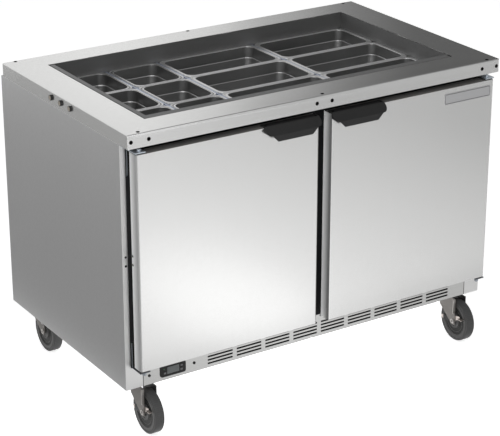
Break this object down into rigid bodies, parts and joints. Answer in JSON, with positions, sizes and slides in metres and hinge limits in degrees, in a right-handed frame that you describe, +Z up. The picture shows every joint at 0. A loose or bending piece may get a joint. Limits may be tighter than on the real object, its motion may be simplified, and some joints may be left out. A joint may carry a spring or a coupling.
{
  "type": "sandwich prep table",
  "caption": "Refrigerated sandwich prep table on casters: stainless worktop with an open well of food pans over a cabinet with hinged doors and a slotted lower grille.",
  "frame": {"origin": "centre of the footprint at floor level", "axes": "+X along the width (to the right seen from the doors), +Y towards the back, +Z up; the doors face -Y"},
  "size_m": [1.2192, 0.7668, 0.8906],
  "materials": {
    "stainless": "brushed",
    "bar_steel": "brushed",
    "pan_steel": "satin",
    "well_steel": "dark satin",
    "zinc": "zinc plated",
    "fork_steel": "plated",
    "brake_steel": "plated",
    "wheel_tyre": "moulded",
    "liner_aluminium": "matt",
    "black_plastic": "moulded",
    "dark_plastic": "moulded",
    "key_plastic": "moulded",
    "gasket_rubber": "soft",
    "compressor_paint": "gloss black"
  },
  "bodies": {
    "cabinet": {"left_side_panel": "stainless", "right_side_panel": "stainless", "back_panel": "stainless", "base_pan": "stainless", "insulated_left_wall": "liner_aluminium", "insulated_right_wall": "liner_aluminium", "insulated_floor": "liner_aluminium", "insulated_step": "liner_aluminium", "insulated_back_and_ceiling": "liner_aluminium", "front_frame": "dark_plastic", "top_deck": "stainless", "well_collar": "well_steel", "divider_bar_1": "bar_steel", "divider_bar_2": "bar_steel", "divider_bar_3": "bar_steel", "front_grille": "stainless", "control_bezel": "black_plastic", "hinge_upper_left": "zinc", "hinge_lower_left": "zinc", "hinge_upper_right": "zinc", "hinge_lower_right": "zinc", "condensing_unit": "compressor_paint", "evaporator_coil": "liner_aluminium", "left_shelf": "liner_aluminium", "right_shelf": "liner_aluminium"},
    "left_door": {"left_door_panel": "stainless", "left_door_liner": "dark_plastic", "left_door_gasket": "gasket_rubber", "left_door_handle": "black_plastic"},
    "right_door": {"right_door_panel": "stainless", "right_door_liner": "dark_plastic", "right_door_gasket": "gasket_rubber", "right_door_handle": "black_plastic"},
    "sixth_pan_1": {"sixth_pan_1": "pan_steel"},
    "sixth_pan_2": {"sixth_pan_2": "pan_steel"},
    "third_pan_1": {"third_pan_1": "pan_steel"},
    "third_pan_2": {"third_pan_2": "pan_steel"},
    "sixth_pan_3": {"sixth_pan_3": "pan_steel"},
    "sixth_pan_4": {"sixth_pan_4": "pan_steel"},
    "third_pan_3": {"third_pan_3": "pan_steel"},
    "third_pan_4": {"third_pan_4": "pan_steel"},
    "sixth_pan_5": {"sixth_pan_5": "pan_steel"},
    "sixth_pan_6": {"sixth_pan_6": "pan_steel"},
    "third_pan_5": {"third_pan_5": "pan_steel"},
    "third_pan_6": {"third_pan_6": "pan_steel"},
    "front_left_fork": {"front_left_caster_fork": "fork_steel"},
    "front_left_wheel": {"front_left_caster_wheel": "wheel_tyre"},
    "front_left_brake": {"front_left_brake_lever": "brake_steel"},
    "front_right_fork": {"front_right_caster_fork": "fork_steel"},
    "front_right_wheel": {"front_right_caster_wheel": "wheel_tyre"},
    "front_right_brake": {"front_right_brake_lever": "brake_steel"},
    "rear_left_fork": {"rear_left_caster_fork": "fork_steel"},
    "rear_left_wheel": {"rear_left_caster_wheel": "wheel_tyre"},
    "rear_right_fork": {"rear_right_caster_fork": "fork_steel"},
    "rear_right_wheel": {"rear_right_caster_wheel": "wheel_tyre"},
    "key_1": {"control_key_1": "key_plastic"},
    "key_2": {"control_key_2": "key_plastic"},
    "key_3": {"control_key_3": "key_plastic"},
    "evaporator_fan": {"evaporator_fan": "dark_plastic"},
    "condenser_fan": {"condenser_fan": "dark_plastic"}
  },
  "joints": [
    {"name": "left_door_hinge", "type": "hinge", "parent": "cabinet", "child": "left_door", "pos_m": [-0.572, -0.3504, 0.2147], "axis": [0, 0, -1], "range_deg": [0, 110]},
    {"name": "right_door_hinge", "type": "hinge", "parent": "cabinet", "child": "right_door", "pos_m": [0.572, -0.3504, 0.2147], "axis": [0, 0, 1], "range_deg": [0, 110]},
    {"name": "sixth_pan_1_lift", "type": "slide", "parent": "cabinet", "child": "sixth_pan_1", "axis": [0, 0, 1], "range_m": [0, 0.16]},
    {"name": "sixth_pan_2_lift", "type": "slide", "parent": "cabinet", "child": "sixth_pan_2", "axis": [0, 0, 1], "range_m": [0, 0.16]},
    {"name": "third_pan_1_lift", "type": "slide", "parent": "cabinet", "child": "third_pan_1", "axis": [0, 0, 1], "range_m": [0, 0.16]},
    {"name": "third_pan_2_lift", "type": "slide", "parent": "cabinet", "child": "third_pan_2", "axis": [0, 0, 1], "range_m": [0, 0.16]},
    {"name": "sixth_pan_3_lift", "type": "slide", "parent": "cabinet", "child": "sixth_pan_3", "axis": [0, 0, 1], "range_m": [0, 0.16]},
    {"name": "sixth_pan_4_lift", "type": "slide", "parent": "cabinet", "child": "sixth_pan_4", "axis": [0, 0, 1], "range_m": [0, 0.16]},
    {"name": "third_pan_3_lift", "type": "slide", "parent": "cabinet", "child": "third_pan_3", "axis": [0, 0, 1], "range_m": [0, 0.16]},
    {"name": "third_pan_4_lift", "type": "slide", "parent": "cabinet", "child": "third_pan_4", "axis": [0, 0, 1], "range_m": [0, 0.16]},
    {"name": "sixth_pan_5_lift", "type": "slide", "parent": "cabinet", "child": "sixth_pan_5", "axis": [0, 0, 1], "range_m": [0, 0.16]},
    {"name": "sixth_pan_6_lift", "type": "slide", "parent": "cabinet", "child": "sixth_pan_6", "axis": [0, 0, 1], "range_m": [0, 0.16]},
    {"name": "third_pan_5_lift", "type": "slide", "parent": "cabinet", "child": "third_pan_5", "axis": [0, 0, 1], "range_m": [0, 0.16]},
    {"name": "third_pan_6_lift", "type": "slide", "parent": "cabinet", "child": "third_pan_6", "axis": [0, 0, 1], "range_m": [0, 0.16]},
    {"name": "front_left_swivel", "type": "hinge", "parent": "cabinet", "child": "front_left_fork", "pos_m": [-0.5393, -0.2714, 0.1547], "axis": [0, 0, 1], "continuous": true},
    {"name": "front_left_wheel_spin", "type": "hinge", "parent": "front_left_fork", "child": "front_left_wheel", "pos_m": [-0.5393, -0.3114, 0.0635], "axis": [1, 0, 0], "continuous": true},
    {"name": "front_left_brake_press", "type": "hinge", "parent": "front_left_fork", "child": "front_left_brake", "pos_m": [-0.5393, -0.3114, 0.0635], "axis": [1, 0, 0], "range_deg": [0, 14]},
    {"name": "front_right_swivel", "type": "hinge", "parent": "cabinet", "child": "front_right_fork", "pos_m": [0.5393, -0.2714, 0.1547], "axis": [0, 0, 1], "continuous": true},
    {"name": "front_right_wheel_spin", "type": "hinge", "parent": "front_right_fork", "child": "front_right_wheel", "pos_m": [0.5393, -0.3114, 0.0635], "axis": [1, 0, 0], "continuous": true},
    {"name": "front_right_brake_press", "type": "hinge", "parent": "front_right_fork", "child": "front_right_brake", "pos_m": [0.5393, -0.3114, 0.0635], "axis": [1, 0, 0], "range_deg": [0, 14]},
    {"name": "rear_left_swivel", "type": "hinge", "parent": "cabinet", "child": "rear_left_fork", "pos_m": [-0.5393, 0.3332, 0.1547], "axis": [0, 0, 1], "continuous": true},
    {"name": "rear_left_wheel_spin", "type": "hinge", "parent": "rear_left_fork", "child": "rear_left_wheel", "pos_m": [-0.5393, 0.2932, 0.0635], "axis": [1, 0, 0], "continuous": true},
    {"name": "rear_right_swivel", "type": "hinge", "parent": "cabinet", "child": "rear_right_fork", "pos_m": [0.5393, 0.3332, 0.1547], "axis": [0, 0, 1], "continuous": true},
    {"name": "rear_right_wheel_spin", "type": "hinge", "parent": "rear_right_fork", "child": "rear_right_wheel", "pos_m": [0.5393, 0.2932, 0.0635], "axis": [1, 0, 0], "continuous": true},
    {"name": "key_1_press", "type": "slide", "parent": "cabinet", "child": "key_1", "axis": [0, 1, 0], "range_m": [0, 0.001], "stiffness_N_per_m": 300},
    {"name": "key_2_press", "type": "slide", "parent": "cabinet", "child": "key_2", "axis": [0, 1, 0], "range_m": [0, 0.001], "stiffness_N_per_m": 300},
    {"name": "key_3_press", "type": "slide", "parent": "cabinet", "child": "key_3", "axis": [0, 1, 0], "range_m": [0, 0.001], "stiffness_N_per_m": 300},
    {"name": "evaporator_fan_spin", "type": "hinge", "parent": "cabinet", "child": "evaporator_fan", "pos_m": [0, 0.2606, 0.63], "axis": [0, 1, 0], "continuous": true},
    {"name": "condenser_fan_spin", "type": "hinge", "parent": "cabinet", "child": "condenser_fan", "pos_m": [-0.2, 0.2579, 0.2523], "axis": [0, 1, 0], "continuous": true}
  ]
}
